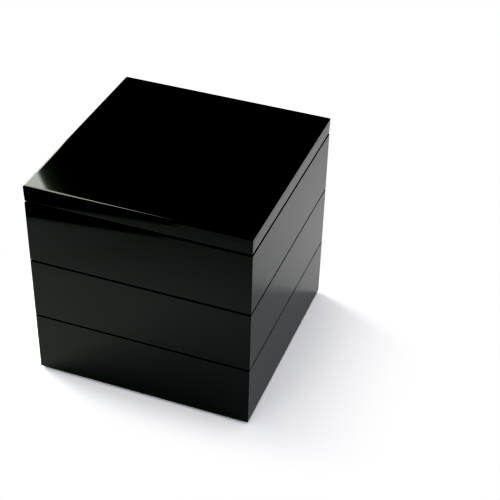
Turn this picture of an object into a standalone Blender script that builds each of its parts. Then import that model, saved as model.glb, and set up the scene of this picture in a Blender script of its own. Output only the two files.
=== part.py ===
"""Three-tier square food box (jubako): lacquered wooden boards, mitred at the corners.

Run with: blender --background --python part.py
Units are metres and +Z is up.  The origin is the middle of the footprint, on the table.
The front of the box faces -Y.

Each tier has four mitred walls, a spline across the mitre in each corner and a floor board.
The floor board has a stepped edge: its flange is let into a rebate in the walls, and its thicker
middle drops below them as a plug, which locates the tier in the mouth of the tier below and
carries the stack on the table.  The lid has a top panel, four mitred rails and four locating lips.
"""

from math import cos, pi, radians, sin, sqrt, tan

import bmesh
import bpy
from mathutils import Matrix, Vector

MM = 0.001

# The stack
SIDE = 196 * MM                  # outside width and depth
TIER_NAMES = ["bottom_tier", "middle_tier", "top_tier"]
TIER_SEAT = 0.3 * MM             # gap between the rim of a tier and the tier that stands on it
LID_SEAT = 0.6 * MM              # gap between the top rim and the lid
GLUE_LINE = 0.3 * MM             # gap between two glued faces
FIT = 0.5 * MM                   # play of a plug or a lip in the mouth, on each side

# Walls of a tier
WALL = 7 * MM
WALL_HEIGHT = 58.3 * MM
RIM_RADIUS = 0.5 * MM            # both edges of the rim
FOOT_RADIUS = 0.9 * MM           # outer lower edge
OUTER_CORNER = 0.8 * MM          # vertical corners of the box, outside
INNER_CORNER = 2.0 * MM          # vertical corners of the box, inside

# Floor board of a tier
REBATE_DEPTH = 3 * MM            # how far the flange is let into the walls
FLANGE = 3 * MM                  # thickness of the flange
PLUG = 2.5 * MM                  # how far the plug stands below the walls
PLUG_RADIUS = 0.6 * MM           # lower edge of the plug

# Splines in the mitres
SPLINE = 2 * MM                  # thickness
SPLINE_WIDTH = 6.6 * MM          # across the joint, half in each wall
SPLINE_HEIGHT = 40 * MM
SPLINE_INSET = 5 * MM            # from the outer faces to the middle of the spline

# Lid
LID_HEIGHT = 15.4 * MM           # from the lower edge of the rails to the top face
PANEL = 5 * MM                   # thickness of the top panel
PANEL_EASE = 2.2 * MM            # how far in the upper edge of the panel is eased
PANEL_DROP = 1.2 * MM            # how far down it is eased
RAIL_RADIUS = 1.2 * MM           # outer lower edge of the rails
LIP = 4 * MM                     # thickness of the locating lips
LIP_DEPTH = 2.5 * MM             # how far the lips reach into the mouth
LIP_RADIUS = 0.8 * MM            # lower edges of the lips

ARC_STEPS = 3                    # flat facets in a rounded edge
CORNER_STEPS = 2                 # flat facets in half a vertical corner

# Places that follow from the sizes above
HALF = SIDE / 2
RAIL = WALL + FIT - GLUE_LINE    # rail thickness, so that the lip on it clears the mouth by FIT
RAIL_HEIGHT = LID_HEIGHT - PANEL - GLUE_LINE
TIER_PITCH = WALL_HEIGHT + TIER_SEAT
LID_LEVEL = PLUG + len(TIER_NAMES) * TIER_PITCH - TIER_SEAT + LID_SEAT
SIDES = {"front": 0, "right": 90, "back": 180, "left": 270}
CORNERS = {"front_right": 0, "back_right": 90, "back_left": 180, "front_left": 270}


def material(name, colour, roughness):
    """A Principled material with a plain colour."""
    made = bpy.data.materials.new(name)
    made.use_nodes = True
    shader = made.node_tree.nodes["Principled BSDF"]
    shader.inputs["Base Color"].default_value = (*colour, 1)
    shader.inputs["Roughness"].default_value = roughness
    shader.inputs["Metallic"].default_value = 0
    made.diffuse_color = (*colour, 1)
    return made


def rounded(corners):
    """Points of a closed outline from (inset, height, radius) corners, the rounded ones as arcs."""
    points = []
    for i, (x, y, radius) in enumerate(corners):
        here = Vector((x, y))
        if not radius:
            points.append(here)
            continue
        before = (Vector(corners[i - 1][:2]) - here).normalized()
        after = (Vector(corners[(i + 1) % len(corners)][:2]) - here).normalized()
        half_angle = before.angle(after) / 2
        centre = here + (before + after).normalized() * radius / sin(half_angle)
        start = here + before * radius / tan(half_angle) - centre
        end = here + after * radius / tan(half_angle) - centre
        turn = start.angle_signed(end)
        for step in range(ARC_STEPS + 1):
            angle = -turn * step / ARC_STEPS
            points.append(centre + Matrix.Rotation(angle, 2) @ start)
    return points


def corner_radius(inset):
    """Radius of a vertical corner at a depth from the outside face."""
    return OUTER_CORNER if inset < WALL / 2 else INNER_CORNER


def section_at(section, angle, side):
    """A board's section carried round the corner at its left (-1) or right (1) end."""
    trim = GLUE_LINE / sqrt(2)
    points = []
    for inset, height in section:
        radius = corner_radius(inset)
        centre = HALF - inset - radius
        points.append((side * (centre - trim + radius * sin(angle)),
                       -centre - radius * cos(angle),
                       height))
    return points


def lofted(name, rings):
    """A closed solid through rings of points, with a flat face on the first and the last."""
    bm = bmesh.new()
    loops = [[bm.verts.new(point) for point in ring] for ring in rings]
    for near, far in zip(loops, loops[1:]):
        for i in range(len(near)):
            bm.faces.new((near[i - 1], near[i], far[i], far[i - 1]))
    bm.faces.new(loops[0])
    bm.faces.new(loops[-1])
    return finished(bm, name)


def board_mesh(name, section):
    """A board along the front with that section, and both ends cut at 45 degrees."""
    angles = [radians(45) * step / CORNER_STEPS for step in range(CORNER_STEPS + 1)]
    left = [section_at(section, angle, -1) for angle in reversed(angles)]
    right = [section_at(section, angle, 1) for angle in angles]
    return lofted(name, left + right)


def square_ring(inset, radius, height):
    """Points of a level square with rounded corners, at that depth from the box's outside."""
    centre = HALF - inset - radius
    points = []
    for quadrant in range(4):
        middle = Vector((centre, centre, height))
        for step in range(2 * CORNER_STEPS + 1):
            angle = pi / 4 * step / CORNER_STEPS
            point = middle + radius * Vector((cos(angle), sin(angle), 0))
            points.append(Matrix.Rotation(quadrant * pi / 2, 3, "Z") @ point)
    return points


def panel_mesh(name, levels, radius):
    """A square panel carried up through (inset, height) levels."""
    return lofted(name, [square_ring(inset, radius, height) for inset, height in levels])


def spline_mesh(name, corners, clearance):
    """Upright splines across the mitres of those corners, or with a clearance their slots."""
    bm = bmesh.new()
    reach = (HALF - SPLINE_INSET) * sqrt(2)
    size = Vector((SPLINE, SPLINE_WIDTH, SPLINE_HEIGHT)) + 2 * clearance * Vector((1, 1, 1))
    for corner in corners:
        place = (Matrix.Rotation(radians(90 * corner - 45), 4, "Z")
                 @ Matrix.Translation((reach, 0, WALL_HEIGHT / 2))
                 @ Matrix.Diagonal((*size, 1)))
        bmesh.ops.create_cube(bm, size=1, matrix=place)
    return finished(bm, name)


def finished(bm, name):
    """The mesh, with its faces turned outwards and its rounded edges shaded smooth."""
    bmesh.ops.recalc_face_normals(bm, faces=bm.faces)
    mesh = bpy.data.meshes.new(name)
    bm.to_mesh(mesh)
    bm.free()
    mesh.shade_smooth()
    mesh.set_sharp_from_angle(angle=radians(35))
    return mesh


def wall_section():
    """Section of a tier's wall, with the rebate for the floor at its inner lower edge."""
    step = WALL - REBATE_DEPTH
    shelf = FLANGE + GLUE_LINE
    return rounded([
        (0, 0, FOOT_RADIUS), (0, WALL_HEIGHT, RIM_RADIUS), (WALL, WALL_HEIGHT, RIM_RADIUS),
        (WALL, shelf, 0), (step, shelf, 0), (step, 0, 0),
    ])


def rail_section():
    """Section of a lid rail."""
    return rounded([(0, 0, RAIL_RADIUS), (0, RAIL_HEIGHT, 0), (RAIL, RAIL_HEIGHT, 0), (RAIL, 0, 0)])


def lip_section():
    """Section of a locating lip, glued inside the rails."""
    outer = WALL + FIT
    inner = outer + LIP
    return rounded([
        (outer, -LIP_DEPTH, LIP_RADIUS), (outer, RAIL_HEIGHT, 0),
        (inner, RAIL_HEIGHT, 0), (inner, -LIP_DEPTH, LIP_RADIUS),
    ])


def floor_levels():
    """Levels of a floor board: plug below the walls, flange in their rebate."""
    plug = WALL + FIT
    flange = WALL - REBATE_DEPTH + GLUE_LINE
    edge = [(plug + PLUG_RADIUS * (1 - sin(a)), -PLUG + PLUG_RADIUS * (1 - cos(a)))
            for a in (pi / 2 * step / ARC_STEPS for step in range(ARC_STEPS + 1))]
    return edge + [(plug, 0), (flange, 0), (flange, FLANGE)]


def panel_levels():
    """Levels of the lid's top panel, with a quarter ellipse along its upper edge."""
    top = LID_HEIGHT - PANEL_DROP
    edge = [(PANEL_EASE * (1 - cos(a)), top + PANEL_DROP * sin(a))
            for a in (pi / 2 * step / ARC_STEPS for step in range(ARC_STEPS + 1))]
    return [(0, LID_HEIGHT - PANEL)] + edge


def add(name, mesh, parent, finish, turn=0):
    """A piece, turned about the middle of the box and carried by its tier or by the lid."""
    piece = bpy.data.objects.new(name, mesh)
    bpy.context.scene.collection.objects.link(piece)
    piece.rotation_euler.z = radians(turn)
    piece.parent = parent
    if not mesh.materials:
        mesh.materials.append(None)
    piece.material_slots[0].link = "OBJECT"
    piece.material_slots[0].material = finish
    return piece


def carrier(name, height):
    """The empty that carries the pieces of one tier or of the lid, on its lifting axis."""
    empty = bpy.data.objects.new(name, None)
    bpy.context.scene.collection.objects.link(empty)
    empty.location.z = height
    return empty


def add_round(prefix, places, kind, mesh, parent, finish):
    """Four copies of a piece round the box, one on each side or in each corner."""
    return [add(f"{prefix}_{place}_{kind}", mesh, parent, finish, turn)
            for place, turn in places.items()]


def cut_slots(boards, slots):
    """Cuts the slots for the splines into the ends of the boards."""
    for board in boards:
        cut = board.modifiers.new("spline slots", "BOOLEAN")
        cut.operation = "DIFFERENCE"
        cut.solver = "EXACT"
        cut.object = slots


def build():
    """The whole box, closed."""
    for old in list(bpy.data.objects):
        bpy.data.objects.remove(old)

    gloss = material("gloss black lacquer", (0.006, 0.006, 0.007), 0.08)
    satin = material("satin black lacquer", (0.010, 0.010, 0.010), 0.30)
    wood = material("bare wood", (0.55, 0.38, 0.22), 0.70)

    wall = board_mesh("wall", wall_section())
    floor = panel_mesh("floor", floor_levels(), INNER_CORNER)
    spline = spline_mesh("spline", [0], 0)
    all_slots = spline_mesh("spline slots", range(4), GLUE_LINE)
    for level, tier in enumerate(TIER_NAMES):
        parent = carrier(tier, PLUG + level * TIER_PITCH)
        slots = add(f"{tier}_slots", all_slots, parent, wood)
        slots.hide_render = True
        slots.display_type = "WIRE"
        cut_slots(add_round(tier, SIDES, "wall", wall, parent, gloss), slots)
        add_round(tier, CORNERS, "spline", spline, parent, wood)
        add(f"{tier}_floor", floor, parent, satin)

    lid = carrier("lid", LID_LEVEL)
    add("lid_top_panel", panel_mesh("top panel", panel_levels(), OUTER_CORNER), lid, gloss)
    add_round("lid", SIDES, "rail", board_mesh("rail", rail_section()), lid, gloss)
    add_round("lid", SIDES, "lip", board_mesh("lip", lip_section()), lid, satin)


build()
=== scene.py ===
# %% [markdown]
# # A three-tier food box in black lacquer
# This lesson dresses a finished construction model of a jubako, a stack of three square trays
# under a flat lid. The construction model gives every board its place and its motion. Here each
# board is remade with its fine edges, and gets the deep gloss of polished lacquer.

# %% Bring in the construction model
from math import cos, pi, radians, sin, tan

import bmesh
import bpy
from mathutils import Matrix, Vector


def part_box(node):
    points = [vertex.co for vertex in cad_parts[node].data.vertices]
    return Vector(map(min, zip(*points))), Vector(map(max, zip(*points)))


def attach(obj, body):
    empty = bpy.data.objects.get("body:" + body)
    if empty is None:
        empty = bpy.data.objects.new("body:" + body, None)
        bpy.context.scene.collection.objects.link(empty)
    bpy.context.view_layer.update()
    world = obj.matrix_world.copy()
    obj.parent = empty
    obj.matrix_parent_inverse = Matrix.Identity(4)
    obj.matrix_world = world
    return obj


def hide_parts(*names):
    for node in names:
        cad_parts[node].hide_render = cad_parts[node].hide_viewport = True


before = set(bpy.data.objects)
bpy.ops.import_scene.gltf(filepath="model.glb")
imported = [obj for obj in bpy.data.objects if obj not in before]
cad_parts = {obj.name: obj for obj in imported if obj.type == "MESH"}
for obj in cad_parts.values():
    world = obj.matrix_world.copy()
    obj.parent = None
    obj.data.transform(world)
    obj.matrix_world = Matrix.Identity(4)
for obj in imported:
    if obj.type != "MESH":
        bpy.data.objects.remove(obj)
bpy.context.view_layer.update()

# %% [markdown]
# ## Sizes
# What can be measured on the construction model is measured there. The wall and the small edges
# can't be read off a box round a board, so they are named here. Each rounded edge matters: on a
# black mirror the eye sees the form of the box only in the lines of light along its edges.

# %% Read the sizes
MM = 0.001
TIERS = ["bottom_tier", "middle_tier", "top_tier"]
SIDES = {"front": 0, "right": 90, "back": 180, "left": 270}

panel_low, panel_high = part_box("lid_top_panel")
wall_low, wall_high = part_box("bottom_tier_front_wall")
HALF = panel_high.x
WALL_HEIGHT = wall_high.z - wall_low.z
WALL = 7 * MM
FIT = 0.5 * MM          # play of a plug or a lip in the mouth below
TOUCH = 0.02 * MM       # what is left between two boards that the lacquer joins

print(f"box {2000 * HALF:.1f} mm wide, {1000 * panel_high.z:.1f} mm high, "
      f"walls {1000 * WALL_HEIGHT:.1f} mm high")

# %% [markdown]
# ## Outlines with rounded corners
# A board is a section pushed along its length. Each section is listed by its few corners, with a
# radius where a block plane or the lacquer rounds the arris. One helper turns the corners into
# arcs, and adds a point just past both ends of each arc. That extra point keeps the smooth
# shading inside the rounding, so the wide faces stay as flat as a mirror.

# %% Round the corners of an outline
ARC_STEPS = 8
FLAT_MARGIN = 0.05 * MM


def rounded(corners):
    """Points of a closed outline as (across, up, edge), from corners as (across, up, radius)."""
    points = []
    for i, (across, up, radius) in enumerate(corners):
        here = Vector((across, up))
        if not radius:
            points.append((*here, 0.0))
            continue
        before = (Vector(corners[i - 1][:2]) - here).normalized()
        after = (Vector(corners[(i + 1) % len(corners)][:2]) - here).normalized()
        half_angle = before.angle(after) / 2
        reach = radius / tan(half_angle)
        centre = here + (before + after).normalized() * radius / sin(half_angle)
        start = here + before * reach - centre
        turn = start.angle_signed(here + after * reach - centre)
        points.append((*(here + before * (reach + FLAT_MARGIN)), 0.0))
        for step in range(ARC_STEPS + 1):
            point = centre + Matrix.Rotation(-turn * step / ARC_STEPS, 2) @ start
            points.append((*point, sin(pi * step / ARC_STEPS)))
        points.append((*(here + after * (reach + FLAT_MARGIN)), 0.0))
    return points


print("a rounded square has", len(rounded([(0, 0, 1), (9, 0, 1), (9, 9, 1), (0, 9, 1)])), "points")

# %% [markdown]
# ## The sections
# A wall has a rebate along its lower inner edge, which holds the floor. Where the wall comes down
# on the floor the lacquer gathers into a small cove, because a sharp inner corner would hold
# crumbs and can't be polished. The lip of the lid has the same cove under the panel.
#
# Handwork isn't quite even, and a mirror shows it. The top tier is rounded a little more at its
# foot than the other two. The rails of the lid are planed back a little at the foot, so that they
# never stand out over the tier below. That leans their faces by a degree or so, and their
# reflections come from a place a little nearer than those in the walls.

# %% Draw the sections
RIM_RADIUS = 0.5 * MM       # both edges of a rim
FOOT_RADII = {"bottom_tier": 0.9 * MM, "middle_tier": 0.9 * MM, "top_tier": 1.35 * MM}
RAIL_RADIUS = 1.2 * MM      # lower edge of a rail
RAIL_LEAN = 0.26 * MM       # how far the foot of a rail is planed back
LIP = 4 * MM                # thickness of a lip
LIP_RADIUS = 0.8 * MM       # lower edges of a lip
COVE = 1.0 * MM
REBATE_DEPTH = 3 * MM

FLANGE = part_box("bottom_tier_floor")[1].z - wall_low.z
RAIL_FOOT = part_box("lid_front_rail")[0].z
LIP_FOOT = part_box("lid_front_lip")[0].z
LID_UNDERSIDE = panel_low.z


def cove(corner, towards):
    """Points of a hollow quarter round in an inner corner, from the wall to the floor."""
    points = []
    for step in range(ARC_STEPS + 1):
        angle = pi / 2 * step / ARC_STEPS
        points.append((corner[0] + COVE * (1 - cos(angle)),
                       corner[1] + towards * COVE * (1 - sin(angle)), 0.0))
    return points


def wall_section(base, foot_radius):
    """Outline of a wall that stands at that height, rounded at its foot."""
    top = base + WALL_HEIGHT
    shelf = base + FLANGE + TOUCH
    step = WALL - REBATE_DEPTH
    outline = rounded([(step, shelf, 0), (step, base, 0), (0, base, foot_radius),
                       (0, top, RIM_RADIUS), (WALL, top, RIM_RADIUS)])
    return outline + cove((WALL, shelf), 1)


def rail_section():
    """Outline of a lid rail, up to the underside of the panel."""
    top = LID_UNDERSIDE - TOUCH
    inner = WALL + FIT - TOUCH
    return rounded([(inner, RAIL_FOOT, 0), (RAIL_LEAN, RAIL_FOOT, RAIL_RADIUS),
                    (0, top, 0), (inner, top, 0)])


def lip_section():
    """Outline of a locating lip inside the rails."""
    top = LID_UNDERSIDE - TOUCH
    outer = WALL + FIT
    inner = outer + LIP
    outline = rounded([(inner, LIP_FOOT, LIP_RADIUS), (outer, LIP_FOOT, LIP_RADIUS),
                       (outer, top, 0)])
    return outline + cove((inner, top), -1)[::-1]


print("sections:", len(wall_section(0, FOOT_RADII["top_tier"])), "points in a wall,",
      len(rail_section()), "in a rail,", len(lip_section()), "in a lip")

# %% [markdown]
# ## A mitred board with Geometry Nodes
# Twelve walls, four rails and four lips are one idea: a section carried along one side of a
# square and half way round the corners at both ends, where it meets its neighbour in a mitre.
# The rule is the same for each, so it is written once as a node tree. The tree sweeps the
# section along a straight row of stations, and then moves every station to its place. The
# stations are ranked from the middle of the board outwards: rank -1 lies on the straight part,
# just short of the bend, and keeps its shading flat; rank 0 is where the bend begins; and the
# last rank is the mitre.

# %% A few helpers for node trees
def math_node(tree, operation, *values, clamp=False):
    """A Math node with sockets or plain numbers for inputs. Returns its output."""
    node = tree.nodes.new("ShaderNodeMath")
    node.operation = operation
    node.use_clamp = clamp
    for socket, value in zip(node.inputs, values):
        if isinstance(value, bpy.types.NodeSocket):
            tree.links.new(value, socket)
        else:
            socket.default_value = value
    return node.outputs[0]


def add_node(tree, kind, links=None, **settings):
    """A node with settings, and with sockets or values for its named inputs."""
    node = tree.nodes.new(kind)
    for name, value in settings.items():
        setattr(node, name, value)
    for name, value in (links or {}).items():
        if isinstance(value, bpy.types.NodeSocket):
            tree.links.new(value, node.inputs[name])
        else:
            node.inputs[name].default_value = value
    return node


def new_tree(name, kind, inputs, outputs):
    """A node group with named inputs (name, socket type, value) and outputs (name, type)."""
    tree = bpy.data.node_groups.new(name, kind)
    for label, socket_type, value in inputs:
        socket = tree.interface.new_socket(label, in_out="INPUT", socket_type=socket_type)
        if value is not None:
            socket.default_value = value
    for label, socket_type in outputs:
        tree.interface.new_socket(label, in_out="OUTPUT", socket_type=socket_type)
    return tree


# %% The mitred board
CORNER_STEPS = 8
OUTER_CORNER = 0.8 * MM
INNER_CORNER = 2.0 * MM

board_tree = new_tree("mitred board", "GeometryNodeTree", [
    ("Section", "NodeSocketObject", None),
    ("Half Side", "NodeSocketFloat", HALF),
    ("Outer Corner", "NodeSocketFloat", OUTER_CORNER),
    ("Inner Corner", "NodeSocketFloat", INNER_CORNER),
    ("Corner Change", "NodeSocketFloat", WALL / 2),
    ("Corner Steps", "NodeSocketInt", CORNER_STEPS),
    ("Flat Margin", "NodeSocketFloat", FLAT_MARGIN),
    ("Finish", "NodeSocketMaterial", None),
], [("Geometry", "NodeSocketGeometry")])


def fill_board_tree(tree):
    """Nodes that sweep the section along the stations and bend both ends round the corners."""
    given = add_node(tree, "NodeGroupInput").outputs
    steps = given["Corner Steps"]
    stations = math_node(tree, "ADD", math_node(tree, "MULTIPLY", steps, 2.0), 4.0)
    row = add_node(tree, "GeometryNodeMeshLine", {"Count": stations, "Offset": (1, 0, 0)})
    path = add_node(tree, "GeometryNodeMeshToCurve", {"Mesh": row.outputs[0]})
    section = add_node(tree, "GeometryNodeObjectInfo", {"Object": given["Section"]})
    outline = add_node(tree, "GeometryNodeMeshToCurve", {"Mesh": section.outputs["Geometry"]})
    sweep = add_node(tree, "GeometryNodeCurveToMesh", {
        "Curve": path.outputs[0], "Profile Curve": outline.outputs[0], "Fill Caps": True})
    station, across, up = swept_place(tree)
    middle = math_node(tree, "ADD", steps, 1.5)
    along = math_node(tree, "SUBTRACT", station, middle)
    side = math_node(tree, "SIGN", along)
    rank = math_node(tree, "SUBTRACT", math_node(tree, "ABSOLUTE", along), 1.5)
    share = math_node(tree, "DIVIDE", rank, steps, clamp=True)
    angle = math_node(tree, "MULTIPLY", share, pi / 4)
    inside = math_node(tree, "GREATER_THAN", across, given["Corner Change"])
    spread = math_node(tree, "SUBTRACT", given["Inner Corner"], given["Outer Corner"])
    radius = math_node(tree, "MULTIPLY_ADD", inside, spread, given["Outer Corner"])
    centre = math_node(tree, "SUBTRACT", given["Half Side"],
                       math_node(tree, "ADD", across, radius))
    back = math_node(tree, "MULTIPLY", math_node(tree, "LESS_THAN", rank, -0.5),
                     given["Flat Margin"])
    reach = math_node(tree, "MULTIPLY_ADD", radius, math_node(tree, "SINE", angle), centre)
    x = math_node(tree, "MULTIPLY", side, math_node(tree, "SUBTRACT", reach, back))
    depth = math_node(tree, "MULTIPLY_ADD", radius, math_node(tree, "COSINE", angle), centre)
    y = math_node(tree, "MULTIPLY", depth, -1.0)
    place = add_node(tree, "ShaderNodeCombineXYZ", {"X": x, "Y": y, "Z": up})
    moved = add_node(tree, "GeometryNodeSetPosition", {
        "Geometry": sweep.outputs[0], "Position": place.outputs[0]})
    real = add_node(tree, "GeometryNodeRealizeInstances", {"Geometry": moved.outputs[0]})
    outward = add_node(tree, "GeometryNodeFlipFaces", {"Mesh": real.outputs[0]})
    finish = add_node(tree, "GeometryNodeSetMaterial", {
        "Geometry": outward.outputs[0], "Material": given["Finish"]})
    add_node(tree, "NodeGroupOutput", {"Geometry": finish.outputs[0]})


def swept_place(tree):
    """Station number, distance across the section and height up it, from a swept position."""
    position = add_node(tree, "GeometryNodeInputPosition")
    parts = add_node(tree, "ShaderNodeSeparateXYZ", {"Vector": position.outputs[0]})
    across = math_node(tree, "MULTIPLY", parts.outputs["Y"], -1.0)
    up = math_node(tree, "MULTIPLY", parts.outputs["Z"], -1.0)
    return parts.outputs["X"], across, up


fill_board_tree(board_tree)
print("the tree has", len(board_tree.nodes), "nodes")

# %% [markdown]
# ## Effects in the lacquer
# A black mirror shows its finish only in what it does to a reflection. Three things tell the eye
# that it is lacquer and not glass: the surface is very slightly uneven, as brushed or sprayed
# coats are; cloths leave faint marks where the shine changes; and dust lies on it. On the arrises
# the coats are thinner, so they are a little duller and browner. Each effect is a node group, so
# that each finish below can have its own share of it.

# %% Unevenness of the coats
def object_noise(tree, size, detail, stretch=(1, 1, 1), normalize=True):
    """Noise of that size in metres, in the piece's own coordinates."""
    coordinates = add_node(tree, "ShaderNodeTexCoord")
    mapping = add_node(tree, "ShaderNodeMapping", {"Vector": coordinates.outputs["Object"]})
    mapping.inputs["Scale"].default_value = stretch
    scale = math_node(tree, "DIVIDE", 1.0, size)
    noise = add_node(tree, "ShaderNodeTexNoise", {
        "Vector": mapping.outputs[0], "Scale": scale, "Detail": detail}, normalize=normalize)
    return noise.outputs[0]


def build_coat_relief():
    """Group: height of the lacquer surface, in metres."""
    tree = new_tree("coat relief", "ShaderNodeTree", [
        ("Peel Size", "NodeSocketFloat", 2.0 * MM),
        ("Peel Height", "NodeSocketFloat", 0.0004 * MM),
        ("Wave Size", "NodeSocketFloat", 40 * MM),
        ("Wave Height", "NodeSocketFloat", 0.02 * MM),
    ], [("Height", "NodeSocketFloat")])
    given = add_node(tree, "NodeGroupInput").outputs
    peel = object_noise(tree, given["Peel Size"], 1.0, normalize=False)
    wave = object_noise(tree, given["Wave Size"], 0.0, normalize=False)
    height = math_node(tree, "MULTIPLY_ADD", wave, given["Wave Height"],
                       math_node(tree, "MULTIPLY", peel, given["Peel Height"]))
    add_node(tree, "NodeGroupOutput", {"Height": height})
    return tree


def build_wipe_marks():
    """Group: faint streaks and patches left by a polishing cloth, from 0 to 1."""
    tree = new_tree("wipe marks", "ShaderNodeTree", [
        ("Patch Size", "NodeSocketFloat", 45 * MM),
        ("Streak Width", "NodeSocketFloat", 0.5 * MM),
        ("Streaks", "NodeSocketFloat", 0.4),
        ("Contrast", "NodeSocketFloat", 2.2),
        ("Offset", "NodeSocketFloat", -1.0),
    ], [("Mask", "NodeSocketFloat")])
    given = add_node(tree, "NodeGroupInput").outputs
    patch = object_noise(tree, given["Patch Size"], 2.0)
    streak = object_noise(tree, given["Streak Width"], 2.0, stretch=(0.04, 1, 0.6))
    both = math_node(tree, "MULTIPLY_ADD", streak, given["Streaks"], patch)
    mask = math_node(tree, "MULTIPLY_ADD", both, given["Contrast"], given["Offset"], clamp=True)
    add_node(tree, "NodeGroupOutput", {"Mask": mask})
    return tree


DUST_ON_WALLS = 0.1     # share of the dust that clings to upright faces


def build_dust():
    """Group: small specks of dust, mostly on faces that look up, from 0 to 1."""
    tree = new_tree("dust", "ShaderNodeTree", [
        ("Spacing", "NodeSocketFloat", 5 * MM),
        ("Speck Size", "NodeSocketFloat", 0.12 * MM),
        ("Share", "NodeSocketFloat", 0.5),
    ], [("Mask", "NodeSocketFloat")])
    given = add_node(tree, "NodeGroupInput").outputs
    coordinates = add_node(tree, "ShaderNodeTexCoord")
    cells = add_node(tree, "ShaderNodeTexVoronoi", {
        "Vector": coordinates.outputs["Object"],
        "Scale": math_node(tree, "DIVIDE", 1.0, given["Spacing"])})
    distance = math_node(tree, "MULTIPLY", cells.outputs["Distance"], given["Spacing"])
    lot = add_node(tree, "ShaderNodeSeparateColor", {"Color": cells.outputs["Color"]}).outputs
    size = math_node(tree, "MULTIPLY", given["Speck Size"], lot["Green"])
    speck = math_node(tree, "LESS_THAN", distance, size)
    chosen = math_node(tree, "LESS_THAN", lot["Red"], given["Share"])
    facing = add_node(tree, "ShaderNodeSeparateXYZ", {
        "Vector": coordinates.outputs["Normal"]}).outputs["Z"]
    lying = math_node(tree, "MULTIPLY_ADD", facing, 1 - DUST_ON_WALLS, DUST_ON_WALLS, clamp=True)
    mask = math_node(tree, "MULTIPLY", math_node(tree, "MULTIPLY", speck, chosen), lying)
    add_node(tree, "NodeGroupOutput", {"Mask": mask})
    return tree


def build_thin_edges():
    """Group: where the coats are thin along the arrises, from 0 to 1."""
    tree = new_tree("thin edges", "ShaderNodeTree", [
        ("Edge", "NodeSocketFloat", 0.0),
        ("Patch Size", "NodeSocketFloat", 6 * MM),
        ("Amount", "NodeSocketFloat", 0.6),
    ], [("Mask", "NodeSocketFloat")])
    given = add_node(tree, "NodeGroupInput").outputs
    patch = object_noise(tree, given["Patch Size"], 3.0)
    worn = math_node(tree, "MULTIPLY", given["Edge"], patch)
    mask = math_node(tree, "MULTIPLY", worn, given["Amount"], clamp=True)
    add_node(tree, "NodeGroupOutput", {"Mask": mask})
    return tree


coat_relief = build_coat_relief()
wipe_marks = build_wipe_marks()
dust = build_dust()
thin_edges = build_thin_edges()
print("effects:", [tree.name for tree in (coat_relief, wipe_marks, dust, thin_edges)])

# %% [markdown]
# ## The finishes
# Outside, the last coat is polished to a deep gloss. The base colour is nearly black, and all
# that shows is the mirror on top of it. The panel of the lid is the widest face, and its coat lies
# in slightly deeper waves. The inside of the trays and the lips are lacquered too, but a cloth
# can't reach their corners, so they are only rubbed down: softer, and a little greyer.

# %% Lacquer
def place_group(tree, group, values=None):
    """An effect in a material, with its values or sockets. Returns its output."""
    node = tree.nodes.new("ShaderNodeGroup")
    node.node_tree = group
    for name, value in (values or {}).items():
        if isinstance(value, bpy.types.NodeSocket):
            tree.links.new(value, node.inputs[name])
        else:
            node.inputs[name].default_value = value
    return node.outputs[0]


def mixed_colour(tree, share, first, second):
    """A colour between two, by a mask."""
    node = add_node(tree, "ShaderNodeMix", data_type="RGBA")
    tree.links.new(share, node.inputs["Factor"])
    for name, colour in (("A", first), ("B", second)):
        socket = next(s for s in node.inputs if s.name == name and s.type == "RGBA")
        if isinstance(colour, bpy.types.NodeSocket):
            tree.links.new(colour, socket)
        else:
            socket.default_value = (*colour, 1)
    return next(s for s in node.outputs if s.type == "RGBA")


LACQUER_IOR = 1.55
BLACK = (0.0018, 0.0060, 0.0020)    # with a trace of green
SOFT_BLACK = (0.058, 0.058, 0.054)  # rubbed down
BROWN_BLACK = (0.014, 0.009, 0.006)  # where the coats are thin
DUST_GREY = (0.16, 0.155, 0.15)
EDGE_DULLNESS = 0.10                # roughness that thin coats add
DUST_DULLNESS = 0.5


def lacquer(name, black, roughness, marks, peel_height, wave_height, specks):
    """Black lacquer with that colour, roughness, cloth marks, unevenness and share of dust."""
    made = bpy.data.materials.new(name)
    made.use_nodes = True
    tree = made.node_tree
    shader = tree.nodes["Principled BSDF"]
    shader.inputs["IOR"].default_value = LACQUER_IOR
    edge = add_node(tree, "ShaderNodeAttribute", attribute_name="edge").outputs["Fac"]
    thin = place_group(tree, thin_edges, {"Edge": edge})
    speck = place_group(tree, dust, {"Share": specks})
    wiped = place_group(tree, wipe_marks)
    relief = place_group(tree, coat_relief, {
        "Peel Height": peel_height, "Wave Height": wave_height})
    coat = mixed_colour(tree, thin, black, BROWN_BLACK)
    colour = mixed_colour(tree, speck, coat, DUST_GREY)
    tree.links.new(colour, shader.inputs["Base Color"])
    polish = math_node(tree, "MULTIPLY_ADD", wiped, marks, roughness)
    polish = math_node(tree, "MULTIPLY_ADD", thin, EDGE_DULLNESS, polish)
    polish = math_node(tree, "MULTIPLY_ADD", speck, DUST_DULLNESS, polish, clamp=True)
    tree.links.new(polish, shader.inputs["Roughness"])
    bump = add_node(tree, "ShaderNodeBump", {"Height": relief, "Distance": 1.0})
    tree.links.new(bump.outputs[0], shader.inputs["Normal"])
    return made


gloss = lacquer("gloss lacquer", BLACK, roughness=0.03, marks=0.03,
                peel_height=0.0003 * MM, wave_height=0.012 * MM, specks=0.35)
satin = lacquer("satin lacquer", SOFT_BLACK, roughness=0.24, marks=0.12,
                peel_height=0.0008 * MM, wave_height=0.012 * MM, specks=0.5)
lid_gloss = lacquer("lid lacquer", BLACK, roughness=0.03, marks=0.03,
                    peel_height=0.0003 * MM, wave_height=0.035 * MM, specks=0.35)
print("finishes:", gloss.name, satin.name, lid_gloss.name)

# %% [markdown]
# ## Bare wood for the splines
# The splines are thin strips of cypress across the mitres. They are shut in and never lacquered,
# so they show straight grain: fine dark lines of late wood in pale early wood.

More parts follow.
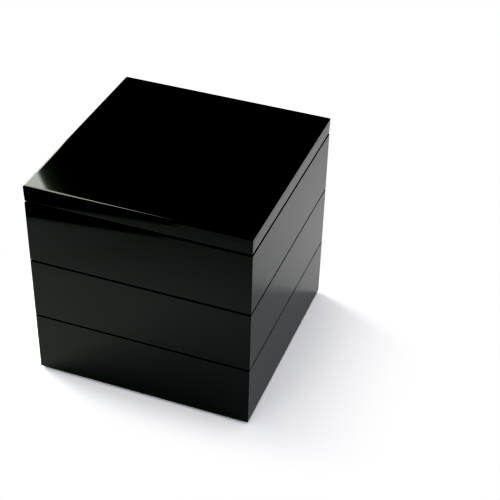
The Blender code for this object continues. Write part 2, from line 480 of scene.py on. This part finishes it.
# %% Wood
FIBRE_SHARE = 0.12          # width of a fibre, as a share of a ring
WOOD_ROUGHNESS = 0.55
FIBRE_ROUGHNESS = 0.25      # what a raised fibre adds
FIBRE_RELIEF = 0.03 * MM


def build_straight_grain():
    """Group: colour and height of straight-grained wood that runs along Z."""
    tree = new_tree("straight grain", "ShaderNodeTree", [
        ("Ring Width", "NodeSocketFloat", 0.9 * MM),
        ("Early Wood", "NodeSocketColor", (0.62, 0.43, 0.25, 1)),
        ("Late Wood", "NodeSocketColor", (0.36, 0.20, 0.10, 1)),
        ("Contrast", "NodeSocketFloat", 3.2),
        ("Offset", "NodeSocketFloat", -1.2),
    ], [("Color", "NodeSocketColor"), ("Height", "NodeSocketFloat")])
    given = add_node(tree, "NodeGroupInput").outputs
    rings = object_noise(tree, given["Ring Width"], 2.0, stretch=(1, 1, 0.03))
    fibre_width = math_node(tree, "MULTIPLY", given["Ring Width"], FIBRE_SHARE)
    fibres = object_noise(tree, fibre_width, 2.0, stretch=(1, 1, 0.02))
    late = math_node(tree, "MULTIPLY_ADD", rings, given["Contrast"], given["Offset"], clamp=True)
    colour = mixed_colour(tree, late, given["Early Wood"], given["Late Wood"])
    add_node(tree, "NodeGroupOutput", {"Color": colour, "Height": fibres})
    return tree


def bare_wood():
    """Planed wood with no finish."""
    made = bpy.data.materials.new("bare wood")
    made.use_nodes = True
    tree = made.node_tree
    shader = tree.nodes["Principled BSDF"]
    grain = tree.nodes.new("ShaderNodeGroup")
    grain.node_tree = build_straight_grain()
    tree.links.new(grain.outputs["Color"], shader.inputs["Base Color"])
    polish = math_node(tree, "MULTIPLY_ADD", grain.outputs["Height"], FIBRE_ROUGHNESS,
                       WOOD_ROUGHNESS)
    tree.links.new(polish, shader.inputs["Roughness"])
    bump = add_node(tree, "ShaderNodeBump", {
        "Height": grain.outputs["Height"], "Distance": FIBRE_RELIEF})
    tree.links.new(bump.outputs[0], shader.inputs["Normal"])
    return made


wood = bare_wood()
splines = [node for name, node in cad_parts.items() if name.endswith("spline")]
for spline in splines:
    for place in spline.material_slots:
        place.link = "OBJECT"
        place.material = wood
print(len(splines), "splines in bare wood")

# %% [markdown]
# ## Make the boards
# The node tree makes one board, at the front. Its mesh is then turned to each side of the box.
# Every board is a piece of its own, which stands for the same board in the construction model
# and rides on the same tier. A wall is glossy outside and soft inside, so its inner faces get a
# second material before the board is copied.

# %% Sweep a board and turn it to all four sides
SMOOTH_ANGLE = radians(30)  # faces that meet at less than this are shaded as one


def outline_object(points):
    """A closed outline as an object that the tree can sweep, with its rounding as "edge"."""
    mesh = bpy.data.meshes.new("section")
    count = len(points)
    mesh.from_pydata([(across, up, 0) for across, up, _ in points],
                     [(i, (i + 1) % count) for i in range(count)], [])
    edge = mesh.attributes.new("edge", "FLOAT", "POINT")
    edge.data.foreach_set("value", [rounding for _, _, rounding in points])
    outline = bpy.data.objects.new("section", mesh)
    bpy.context.scene.collection.objects.link(outline)
    return outline


def set_inputs(modifier, values):
    """Sets a Geometry Nodes modifier's inputs by name."""
    for item in modifier.node_group.interface.items_tree:
        if item.item_type == "SOCKET" and item.in_out == "INPUT" and item.name in values:
            modifier[item.identifier] = values[item.name]


def swept_board(points, finish):
    """The mesh of a front board with that section, made by the tree."""
    outline = outline_object(points)
    maker = bpy.data.objects.new("board maker", bpy.data.meshes.new("board maker"))
    bpy.context.scene.collection.objects.link(maker)
    modifier = maker.modifiers.new("mitred board", "NODES")
    modifier.node_group = board_tree
    set_inputs(modifier, {"Section": outline, "Finish": finish})
    bpy.context.view_layer.update()
    evaluated = maker.evaluated_get(bpy.context.evaluated_depsgraph_get())
    mesh = bpy.data.meshes.new_from_object(evaluated)
    bpy.data.objects.remove(maker)
    bpy.data.objects.remove(outline)
    return mesh


def add_piece(name, mesh, body, node):
    """A finished piece that stands for a CAD node and rides on its body."""
    mesh.shade_smooth()
    mesh.set_sharp_from_angle(angle=SMOOTH_ANGLE)
    piece = bpy.data.objects.new(name, mesh)
    bpy.context.scene.collection.objects.link(piece)
    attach(piece, body)
    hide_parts(node)
    return piece


def soften_inside(mesh):
    """Gives the faces of a front wall that look into the tray the softer finish."""
    mesh.materials.append(satin)
    for face in mesh.polygons:
        if face.center.y > WALL - RIM_RADIUS - HALF:
            face.material_index = 1


def add_boards(body, kind, points, finish):
    """Four boards of one section round the box."""
    front = swept_board(points, finish)
    if kind == "wall":
        soften_inside(front)
    for side, turn in SIDES.items():
        mesh = front.copy()
        mesh.transform(Matrix.Rotation(radians(turn), 4, "Z"))
        node = f"{body}_{side}_{kind}"
        add_piece(f"{node}_lacquered", mesh, body, node)
    print(f"{body}: four {kind} boards of {len(front.polygons)} faces")


for tier in TIERS:
    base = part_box(f"{tier}_front_wall")[0].z
    add_boards(tier, "wall", wall_section(base, FOOT_RADII[tier]), gloss)
add_boards("lid", "rail", rail_section(), gloss)
add_boards("lid", "lip", lip_section(), satin)

# %% [markdown]
# ## Make the floors and the panel
# These are square boards with an edge that changes from bottom to top. A square ring of points
# is drawn for each level of the edge, and neighbouring rings are joined with faces. The panel's
# upper edge is eased in a flat quarter ellipse: nearly level where it leaves the top face, where
# it catches the light in one long line, and steep where it meets the rails.

# %% Square boards, level by level
def square_ring(inset, radius, height):
    """Points of a level square with rounded corners, that far in from the sides of the box."""
    centre = HALF - inset - radius
    points = []
    for quadrant in range(4):
        turn = Matrix.Rotation(quadrant * pi / 2, 3, "Z")
        arc = [Vector((centre + radius, centre - FLAT_MARGIN, height))]
        for step in range(2 * CORNER_STEPS + 1):
            angle = pi / 4 * step / CORNER_STEPS
            arc.append(Vector((centre + radius * cos(angle), centre + radius * sin(angle),
                               height)))
        arc.append(Vector((centre - FLAT_MARGIN, centre + radius, height)))
        points += [turn @ point for point in arc]
    return points


def square_board(name, levels, radius, finish):
    """A square board through (inset, height, edge) levels."""
    bm = bmesh.new()
    edge = bm.verts.layers.float.new("edge")
    rings = []
    for inset, height, rounding in levels:
        ring = [bm.verts.new(point) for point in square_ring(inset, radius, height)]
        for vert in ring:
            vert[edge] = rounding
        rings.append(ring)
    for lower, upper in zip(rings, rings[1:]):
        for i in range(len(lower)):
            bm.faces.new((lower[i - 1], lower[i], upper[i], upper[i - 1]))
    bm.faces.new(rings[0][::-1])
    bm.faces.new(rings[-1])
    mesh = bpy.data.meshes.new(name)
    bm.to_mesh(mesh)
    bm.free()
    mesh.materials.append(finish)
    return mesh


PLUG_RADIUS = 0.6 * MM
PANEL_EASE = 2.2 * MM       # how far in the edge is eased
PANEL_DROP = 1.2 * MM       # how far down it is eased
PANEL_EDGE_STEPS = 24


def floor_levels(low, base, top):
    """Edge of a floor board: plug below the walls, then the flange in their rebate."""
    plug = WALL + FIT
    flange = WALL - REBATE_DEPTH + TOUCH
    section = rounded([(HALF, low, 0), (plug, low, PLUG_RADIUS), (plug, base, 0)])
    return section[1:-1] + [(plug, base, 0.0), (flange, base, 0.0), (flange, top, 0.0)]


def panel_levels(low, high):
    """Edge of the lid's panel, with a quarter ellipse above."""
    levels = [(0.0, low, 0.0), (0.0, high - PANEL_DROP - FLAT_MARGIN, 0.0)]
    for step in range(PANEL_EDGE_STEPS + 1):
        angle = pi / 2 * step / PANEL_EDGE_STEPS
        levels.append((PANEL_EASE * (1 - cos(angle)), high - PANEL_DROP * (1 - sin(angle)),
                       sin(2 * angle)))
    return levels + [(PANEL_EASE + FLAT_MARGIN, high, 0.0)]


for tier in TIERS:
    low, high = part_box(f"{tier}_floor")
    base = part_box(f"{tier}_front_wall")[0].z
    mesh = square_board(f"{tier}_floor", floor_levels(low.z, base, high.z), INNER_CORNER, satin)
    add_piece(f"{tier}_floor_lacquered", mesh, tier, f"{tier}_floor")
mesh = square_board("lid_top_panel", panel_levels(panel_low.z, panel_high.z), OUTER_CORNER,
                    lid_gloss)
add_piece("lid_top_panel_lacquered", mesh, "lid", "lid_top_panel")
print("three floors and the panel")

# %% [markdown]
# ## The studio
# A black mirror shows the room, so the room is half of the picture. Table, card and light are all
# sheets, drawn through rows of points. A sheet can thin out towards its edges: each point has a
# cover, from 1 where the sheet is whole to 0 where nothing of it is left, and the sheet's
# material reads it.

# %% Sheets of the studio
def stepped_sheet(name, rows, covers, finish, closed):
    """A sheet through rows of points, or through closed rings, with a cover for each point."""
    count = len(rows[0])
    faces = [tuple(range(count))] if closed else []
    for row in range(len(rows) - 1):
        for i in range(count if closed else count - 1):
            j = (i + 1) % count
            faces.append((row * count + i, row * count + j, (row + 1) * count + j,
                          (row + 1) * count + i))
    mesh = bpy.data.meshes.new(name)
    mesh.from_pydata([point for row in rows for point in row], [], faces)
    cover = mesh.attributes.new("cover", "FLOAT", "POINT")
    cover.data.foreach_set("value", covers)
    mesh.materials.append(finish)
    sheet = bpy.data.objects.new(name, mesh)
    bpy.context.scene.collection.objects.link(sheet)
    print(name, "with", len(faces), "faces")
    return sheet


# %% [markdown]
# ## The table
# The box stands on a white table, which fills the reflections in its sides. As in a catalogue,
# the table is over-exposed for the camera, and its shading fades to plain white at a small
# distance from the box.

# %% Table
TABLE_WHITE = 0.83
BURNT_OUT = 1.31                    # brightness of the table for the camera
GREY_CENTRE = (5 * MM, -2 * MM, 0)  # the shading is kept in a rectangle round this place
GREY_HALF = (98 * MM, 92 * MM, 0)   # half the size of that rectangle
GREY_FADE = (118 * MM, 54 * MM, 1)  # how far beyond it the shading fades out


def vector_math(tree, operation, *values):
    """A Vector Math node with sockets or plain vectors for inputs. Returns its output."""
    node = add_node(tree, "ShaderNodeVectorMath", dict(enumerate(values)), operation=operation)
    return node.outputs["Value" if operation in ("LENGTH", "DOT_PRODUCT") else "Vector"]


def table_material():
    """White card, burnt out for the camera, which fades to plain white away from the box."""
    made = bpy.data.materials.new("white table")
    made.use_nodes = True
    tree = made.node_tree
    tree.nodes.remove(tree.nodes["Principled BSDF"])
    seen = add_node(tree, "ShaderNodeLightPath").outputs["Is Camera Ray"]
    brightness = math_node(tree, "MULTIPLY_ADD", seen, BURNT_OUT - TABLE_WHITE, TABLE_WHITE)
    card = add_node(tree, "ShaderNodeBsdfDiffuse", {"Color": brightness})
    plain = add_node(tree, "ShaderNodeEmission", {"Color": (1, 1, 1, 1)})
    place = add_node(tree, "ShaderNodeTexCoord").outputs["Object"]
    away = vector_math(tree, "SUBTRACT", place, GREY_CENTRE)
    away = vector_math(tree, "SUBTRACT", vector_math(tree, "ABSOLUTE", away), GREY_HALF)
    away = vector_math(tree, "MAXIMUM", away, (0, 0, 0))
    away = vector_math(tree, "LENGTH", vector_math(tree, "DIVIDE", away, GREY_FADE))
    fade = add_node(tree, "ShaderNodeMapRange", {"Value": away},
                    interpolation_type="SMOOTHSTEP").outputs[0]
    mix = add_node(tree, "ShaderNodeMixShader", {0: math_node(tree, "MULTIPLY", fade, seen)})
    tree.links.new(card.outputs[0], mix.inputs[1])
    tree.links.new(plain.outputs[0], mix.inputs[2])
    tree.links.new(mix.outputs[0], tree.nodes["Material Output"].inputs[0])
    return made


TABLE = 4.0
stepped_sheet("table", [[(-TABLE, -TABLE, 0), (TABLE, -TABLE, 0)],
                        [(-TABLE, TABLE, 0), (TABLE, TABLE, 0)]],
              [1.0] * 4, table_material(), closed=False)

# %% [markdown]
# ## A black card for the dark band
# The front of the box leans neither up nor down, so low in it the eye sees the table close by, and
# high in it the table further out. There the white ends at the edge of a black card, which makes
# the dark band along the top of the front. The edge isn't parallel to the box, so the band is a
# wedge. Only reflections see the card. In front of its edge, and to the right of its end, it is
# as thin as a veil, which dims the white there a little.

# %% Black card
CARD_EDGE = -0.3266         # where the edge lies, in front of the middle of the box
CARD_SLOPE = -0.134         # how fast the edge comes nearer to the right
CARD_THIN = -0.20           # to the left of this there is hardly any veil in front of the edge
CARD_END = -0.085           # where the edge ends on the right
CARD_END_SLOPE = 0.42       # how fast the end runs away to the left
CARD_SOFT_END = 30 * MM
CARD_LIFT = 0.5 * MM
CARD_LENGTH = 1.5
VEIL = 0.25
FELT_BLACK = (0.02, 0.02, 0.02, 1)
FELT_ROUGHNESS = 0.9
# distance from the edge in mm, then the cover at the far left, at the end, and to its right
CARD_ROWS = [(90, 0.0, 0.0, 0.0), (0, 0.07, VEIL, VEIL), (-6, 1.0, 1.0, VEIL),
             (-1160, 1.0, 1.0, VEIL)]


def black_felt():
    """Black felt that is thinned away where "cover" falls to nothing."""
    felt = bpy.data.materials.new("black felt")
    felt.use_nodes = True
    tree = felt.node_tree
    shader = tree.nodes["Principled BSDF"]
    shader.inputs["Base Color"].default_value = FELT_BLACK
    shader.inputs["Roughness"].default_value = FELT_ROUGHNESS
    cover = add_node(tree, "ShaderNodeAttribute", attribute_name="cover").outputs["Fac"]
    tree.links.new(cover, shader.inputs["Alpha"])
    return felt


def black_card():
    """Card on the table in front of the box, which only reflections see."""
    rows, covers = [], []
    for off, left, end, right in CARD_ROWS:
        end_x = CARD_END + CARD_END_SLOPE * off * MM
        places = (-CARD_LENGTH, CARD_THIN, end_x, end_x + CARD_SOFT_END, CARD_LENGTH)
        rows.append([(x, CARD_EDGE + CARD_SLOPE * x + off * MM, CARD_LIFT) for x in places])
        covers += [left, left, end, right, right]
    card = stepped_sheet("black card", rows, covers, black_felt(), closed=False)
    card.visible_camera = False
    card.visible_diffuse = False
    card.visible_shadow = False


black_card()
print("the white ends", -1000 * CARD_EDGE, "mm in front of the middle of the box")

# %% [markdown]
# ## The soft light
# One large rectangle of cloth, lit from behind, leans over the box from the left, so near that
# its corner shows in the lid and its side in the eased edge. The cloth glows evenly up to its
# frame. Beyond the frame only a little stray light is left, which gives the reflection its soft
# outline.

# %% Soft light
LIGHT_PLACE = (-0.414, 0.163, 0.433)
LIGHT_AZIMUTH = radians(1.5)        # which way it shines, from +X
LIGHT_TILT = radians(35)            # how far down it shines
LIGHT_ROLL = radians(18.8)
LIGHT_WIDTH = 0.435
LIGHT_HEIGHT = 0.666
LIGHT_RADIANCE = 5.85
CLOTH_COLOUR = (1.0, 1.0, 0.955, 1)   # a little warm
# distance beyond the frame in mm, and the share of the light there
CLOTH_EDGE = [(-214, 1.0), (-1, 1.0), (6, 0.16), (15, 0.07), (40, 0.035), (110, 0.0)]


def glowing_cloth(radiance):
    """Cloth lit from behind, bright where "cover" is 1."""
    cloth = bpy.data.materials.new("lit cloth")
    cloth.use_nodes = True
    tree = cloth.node_tree
    tree.nodes.remove(tree.nodes["Principled BSDF"])
    cover = add_node(tree, "ShaderNodeAttribute", attribute_name="cover").outputs["Fac"]
    strength = math_node(tree, "MULTIPLY", cover, radiance)
    glow = add_node(tree, "ShaderNodeEmission", {"Color": CLOTH_COLOUR, "Strength": strength})
    tree.links.new(glow.outputs[0], tree.nodes["Material Output"].inputs[0])
    return cloth


def soft_light():
    """The rectangle of lit cloth, as rings round its middle."""
    azimuth, tilt = LIGHT_AZIMUTH, LIGHT_TILT
    shines = Vector((cos(azimuth) * cos(tilt), sin(azimuth) * cos(tilt), -sin(tilt)))
    turn = shines.to_track_quat("-Z", "Y").to_matrix() @ Matrix.Rotation(-LIGHT_ROLL, 3, "Z")
    rows = []
    for beyond, _ in CLOTH_EDGE:
        half = Vector((LIGHT_WIDTH / 2 + beyond * MM, LIGHT_HEIGHT / 2 + beyond * MM, 0))
        rows.append([Vector(LIGHT_PLACE) + turn @ Vector((half.x * x, half.y * y, 0))
                     for x, y in ((-1, -1), (1, -1), (1, 1), (-1, 1))])
    covers = [cover for _, cover in CLOTH_EDGE for _ in range(4)]
    cloth = stepped_sheet("leaning light", rows, covers, glowing_cloth(LIGHT_RADIANCE),
                          closed=True)
    cloth.visible_camera = False


soft_light()
print("the cloth glows", LIGHT_RADIANCE, "times as bright as plain white")

# %% [markdown]
# ## The room
# The rest of the light is dim and comes from all round, with more from a window at the front
# right. A black mirror would show such a room as grey, so reflections see it nearly dark, as if
# the walls were hung with black cloth. Behind the table everything is plain white.

# %% Room
ROOM_LIGHT = 0.48
ROOM_MIRRORED = 0.06                # brightness of the room in reflections
ROOM_COLOUR = (0.99, 0.992, 1.035)
WINDOW_LIGHT = 1.27
WINDOW_AZIMUTH = radians(-50)       # where the window is, from +X


def dim_room():
    """Dim light all round and more from the front right, dark when mirrored, white behind."""
    world = bpy.data.worlds.new("room")
    world.use_nodes = True
    tree = world.node_tree
    ground = tree.nodes["Background"]
    direction = add_node(tree, "ShaderNodeTexCoord").outputs["Generated"]
    window = (cos(WINDOW_AZIMUTH), sin(WINDOW_AZIMUTH), 0)
    facing = math_node(tree, "MAXIMUM", vector_math(tree, "DOT_PRODUCT", direction, window), 0.0)
    light = math_node(tree, "MULTIPLY_ADD", facing, WINDOW_LIGHT, ROOM_LIGHT)
    path = add_node(tree, "ShaderNodeLightPath").outputs
    mirrored = add_node(tree, "ShaderNodeMix", {
        "Factor": path["Is Glossy Ray"], "A": light, "B": ROOM_MIRRORED})
    seen = add_node(tree, "ShaderNodeMix", {
        "Factor": path["Is Camera Ray"], "A": mirrored.outputs[0], "B": 1.0})
    tree.links.new(seen.outputs[0], ground.inputs["Strength"])
    colour = mixed_colour(tree, path["Is Camera Ray"], ROOM_COLOUR, (1, 1, 1))
    tree.links.new(colour, ground.inputs["Color"])
    bpy.context.scene.world = world


dim_room()
print("the room is", round(ROOM_LIGHT / ROOM_MIRRORED), "times darker when it is mirrored")

# %% [markdown]
# ## The camera
# The box is seen from above its front right corner, through a long lens, so that its sides stay
# nearly parallel.

# %% Camera
CAMERA_PLACE = Vector((347.2, -811.8, 743.6)) * MM
AZIMUTH, ELEVATION, ROLL = radians(19.41), radians(36.48), radians(1.597)
LENS = 89.3


def add_camera():
    """The camera, turned by its three angles."""
    data = bpy.data.cameras.new("camera")
    data.lens = LENS
    data.clip_start = 0.05
    data.clip_end = 50
    camera = bpy.data.objects.new("camera", data)
    turned = Matrix.Rotation(AZIMUTH, 3, "Z") @ Matrix.Rotation(pi / 2 - ELEVATION, 3, "X")
    camera.matrix_world = Matrix.LocRotScale(
        CAMERA_PLACE, (turned @ Matrix.Rotation(ROLL, 3, "Z")).to_quaternion(), None)
    bpy.context.scene.collection.objects.link(camera)
    bpy.context.scene.camera = camera


add_camera()

# %% [markdown]
# ## Print contrast
# A catalogue print has more contrast than the eye: everything below a dark grey is printed solid
# black. The same curve is drawn here in the colour management. It raises the black point on the
# display's scale, so its points are worked out there and brought back to light values.

# %% Contrast curve
BLACK_POINT = 42 / 255
CURVE_POINTS = (0.2, 0.25, 0.32, 0.42, 0.55, 0.75)


def to_display(light):
    """Display value, from 0 to 1, of an amount of light."""
    return 12.92 * light if light <= 0.0031308 else 1.055 * light ** (1 / 2.4) - 0.055


def to_light(shown):
    """Amount of light of a display value."""
    return shown / 12.92 if shown <= 0.04045 else ((shown + 0.055) / 1.055) ** 2.4


def set_print_contrast():
    """Colour management with the black point raised."""
    settings = bpy.context.scene.view_settings
    settings.view_transform = "Standard"
    settings.use_curve_mapping = True
    curve = settings.curve_mapping.curves[3]    # the combined curve
    for shown in CURVE_POINTS:
        raised = (shown - BLACK_POINT) / (1 - BLACK_POINT)
        curve.points.new(to_light(shown), to_light(raised))
    curve.points[0].location = (to_light(BLACK_POINT), 0)
    settings.curve_mapping.update()
    print("black below", round(to_light(BLACK_POINT), 4))


set_print_contrast()
